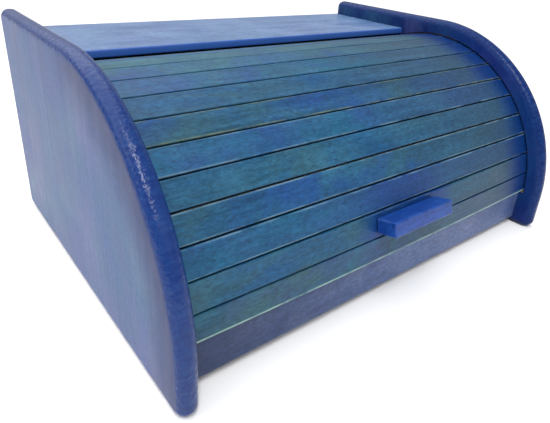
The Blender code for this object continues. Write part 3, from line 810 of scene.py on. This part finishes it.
# Handle: a sanded block held by two screws through its slat
handle = {
    "slat": 2, "outer": 0.1318, "length": 0.066, "reach": 0.0175, "height": 0.0115,
    "rounding": 0.0011, "screwX": 0.02, "wobble": 0.00012, "wobbleSeed": 6.1,
    "look": {"along": "x", "seed": 12.4, "grainScale": 300, "streakScale": 90,
             "dark": shade(6, 46, 120), "light": shade(22, 70, 152), "pale": shade(44, 86, 158),
             "deep": shade(6, 24, 82), "mottle": 0.45, "cast": shade(12, 66, 132),
             "edgeColour": shade(56, 84, 146), "wear": 0.45, "glossy": 0.32, "dull": 0.46,
             "specular": 0.28, "coat": 0.08},
}
half = Vector((handle["length"], handle["reach"], handle["height"])) / 2
handleBow = slatBow(handle["slat"], handle["screwX"])
bm = boardBlank(-half, half, handle["rounding"], roundSteps=4, cuts=12,
                wobble=handle["wobble"], seed=handle["wobbleSeed"])
bm.transform(slatPlace(handle["slat"], handle["outer"] + handle["reach"] / 2 + handleBow))
joinFrame(bm, "handle_block", "shutter", ["handle"], stainedWood("handle_stain", handle["look"]))

screws = {
    "headRadius": 0.0032, "headHeight": 0.0018, "shankRadius": 0.0015, "under": 0.1238,
    "length": 0.020, "threadTop": 0.004, "threadPitch": 0.0014, "threadCount": 9,
    "turns": {"left": 0.4, "right": 1.1},       # how far round each was left, in radians
    "look": {"bright": shade(205, 205, 200), "dull": shade(160, 160, 152)},
}
steelPlate = platedSteel("zinc_plate", screws["look"])


def turned(profile, steps=32):
    # closed shape spun from its half outline of (radius, height) points about Z
    bm = bmesh.new()
    last = None
    for radius, height in profile:
        vert = bm.verts.new((radius, 0, height))
        if last:
            bm.edges.new((last, vert))
        last = vert
    bmesh.ops.spin(bm, geom=bm.verts[:] + bm.edges[:], cent=(0, 0, 0), axis=(0, 0, 1),
                   angle=2 * math.pi, steps=steps, use_merge=True, use_duplicate=False)
    bmesh.ops.remove_doubles(bm, verts=bm.verts, dist=0.000002)
    bmesh.ops.recalc_face_normals(bm, faces=bm.faces)
    return bm


def screwShape():
    # domed head with a cross recess, its underside at height 0
    r, h, s = screws["headRadius"], screws["headHeight"], screws["shankRadius"]
    outline = [(0, h), (r * 0.35, h * 0.98), (r * 0.62, h * 0.88), (r * 0.84, h * 0.62),
               (r * 0.96, h * 0.28), (r, 0.0001), (r * 0.97, 0), (s, 0)]
    for turn in range(screws["threadCount"]):
        z = -screws["threadTop"] - turn * screws["threadPitch"]
        outline += [(s * 0.72, z), (s, z - 0.0005), (s * 0.72, z - 0.001)]
    outline += [(s * 0.6, -screws["length"] + 0.003), (0, -screws["length"])]
    cross = [boxCutter((-a, -b, h * 0.35), (a, b, h * 1.5))
             for a, b in ((r * 0.62, r * 0.1), (r * 0.1, r * 0.62))]
    return cutAway(turned(outline), cross)


for label, turn in screws["turns"].items():
    node = "handle_screw_" + label
    low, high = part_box(node)
    bm = screwShape()
    angle = slatAngle(handle["slat"])
    under = onArc(screws["under"] + handleBow, angle, (low.x + high.x) / 2)
    bm.transform(Matrix.Translation(under) @ Matrix.Rotation(-math.pi / 2 - angle, 4, "X")
                 @ Matrix.Rotation(turn, 4, "Z"))
    joinFrame(bm, node + "_steel", "shutter", [node], steelPlate)
print("handle and screws done")


# Panel pins that hold the back
pins = {
    "headRadius": 0.0015, "headHeight": 0.0006, "shankRadius": 0.0007, "length": 0.014,
    "pointLength": 0.0015,
}


def pinShape():
    # low domed head with a small dimple, its underside at height 0, and a point
    r, h, s = pins["headRadius"], pins["headHeight"], pins["shankRadius"]
    tip = -pins["length"]
    return turned([(0, h * 0.9), (r * 0.5, h), (r * 0.85, h * 0.8), (r, h * 0.35), (r * 0.96, 0),
                   (s, 0), (s, tip + pins["pointLength"]), (0, tip)], 20)


for node in pinNodes:
    low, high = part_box(node)
    bm = pinShape()
    place = (low + high) / 2
    place.y = high.y - pins["headHeight"]
    bm.transform(Matrix.Translation(place) @ Matrix.Rotation(-math.pi / 2, 4, "X"))
    joinFrame(bm, node + "_steel", "carcass", [node], steelPlate)

beech = bareWood("dowel_beech", {"along": "x", "light": shade(216, 186, 144),
                                 "dark": shade(190, 152, 108), "warm": shade(206, 166, 120),
                                 "fleck": shade(150, 112, 76)})
for node, piece in frame["nodes"].items():
    if node.startswith("rail_dowel_"):
        piece.data.materials.clear()
        piece.data.materials.append(beech)
print("pins and dowels done")


# Floor, light and camera
studio = {
    "floorSize": 16.0, "surround": 0.5, "aim": (0, 0, 0.08),
    "sky": {"strength": 2.1, "spread": 80, "place": (-0.35, 0.9, 1.6)},     # soft, from overhead
    "lamps": {          # place, size, watts
        "leftWindow": ((-1.9, 0.2, 1.05), (0.9, 0.7), 4.5),
        "ceilingStrip": ((-0.58, -1.0, 1.95), (0.5, 1.2), 32),
        "frontFill": ((0.4, -2.1, 1.2), (1.4, 1.0), 3),
    },
}
bm = bmesh.new()
bmesh.ops.create_grid(bm, x_segments=8, y_segments=8, size=studio["floorSize"] / 2)
floorMesh = bpy.data.meshes.new("studio_floor")
bm.to_mesh(floorMesh)
bm.free()
floor = bpy.data.objects.new("studio_floor", floorMesh)
bpy.context.scene.collection.objects.link(floor)
material, tree, shader = newMaterial("pale_floor")
haze = addNoise(tree, pieceCoords(tree), 2, 2, 0.5)
tree.links.new(mixColour(tree, haze, (0.93, 0.93, 0.935, 1), (0.95, 0.95, 0.95, 1)),
               shader.inputs["Base Color"])
shader.inputs["Roughness"].default_value = 0.9
shader.inputs["Specular IOR Level"].default_value = 0.1
floorMesh.materials.append(material)
floor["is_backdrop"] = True

world = bpy.data.worlds.new("studio_surround")
world.use_nodes = True
world.node_tree.nodes["Background"].inputs["Color"].default_value = (1, 1, 1, 1)
seen = world.node_tree.nodes.new("ShaderNodeLightPath").outputs["Is Camera Ray"]
plug(world.node_tree, spread(world.node_tree, seen, 0.0, 1.0, studio["surround"], 1.0),
     world.node_tree.nodes["Background"].inputs["Strength"])     # white behind, softer as light
bpy.context.scene.world = world


def addLamp(name, kind, place):
    light = bpy.data.lights.new(name, kind)
    lamp = bpy.data.objects.new(name, light)
    lamp.location = place
    aim = Vector(studio["aim"]) - Vector(place)
    lamp.rotation_euler = aim.to_track_quat("-Z", "Y").to_euler()
    bpy.context.scene.collection.objects.link(lamp)
    return light


sky = addLamp("sky", "SUN", studio["sky"]["place"])
sky.energy = studio["sky"]["strength"]
sky.angle = math.radians(studio["sky"]["spread"])
for name, (place, size, watts) in studio["lamps"].items():
    light = addLamp(name, "AREA", place)
    light.shape = "RECTANGLE"
    light.size, light.size_y = size
    light.energy = watts

lookout = {"place": (-0.28333, -0.32881, 0.24685), "azimuth": -40.64, "elevation": 24.94,
           "roll": 4.25, "lens": 32.87, "shift": (-0.02926, -0.07025)}
turn, rise = math.radians(lookout["azimuth"]), math.radians(lookout["elevation"])
back = Vector((math.sin(turn) * math.cos(rise), -math.cos(turn) * math.cos(rise),
               math.sin(rise)))
across = (-back).cross(Vector((0, 0, 1))).normalized()
upright = across.cross(-back)
level = Matrix((across, upright, back)).transposed().to_4x4()
lens = bpy.data.cameras.new("camera")
lens.sensor_width = 36
lens.lens = lookout["lens"]
lens.shift_x, lens.shift_y = lookout["shift"]
camera = bpy.data.objects.new("camera", lens)
camera.matrix_world = (Matrix.Translation(lookout["place"]) @ level
                       @ Matrix.Rotation(math.radians(lookout["roll"]), 4, "Z"))
bpy.context.scene.collection.objects.link(camera)
bpy.context.scene.camera = camera
bpy.context.scene.view_settings.view_transform = "Standard"
print("floor, lights and camera done")

bpy.context.view_layer.update()
low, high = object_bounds()
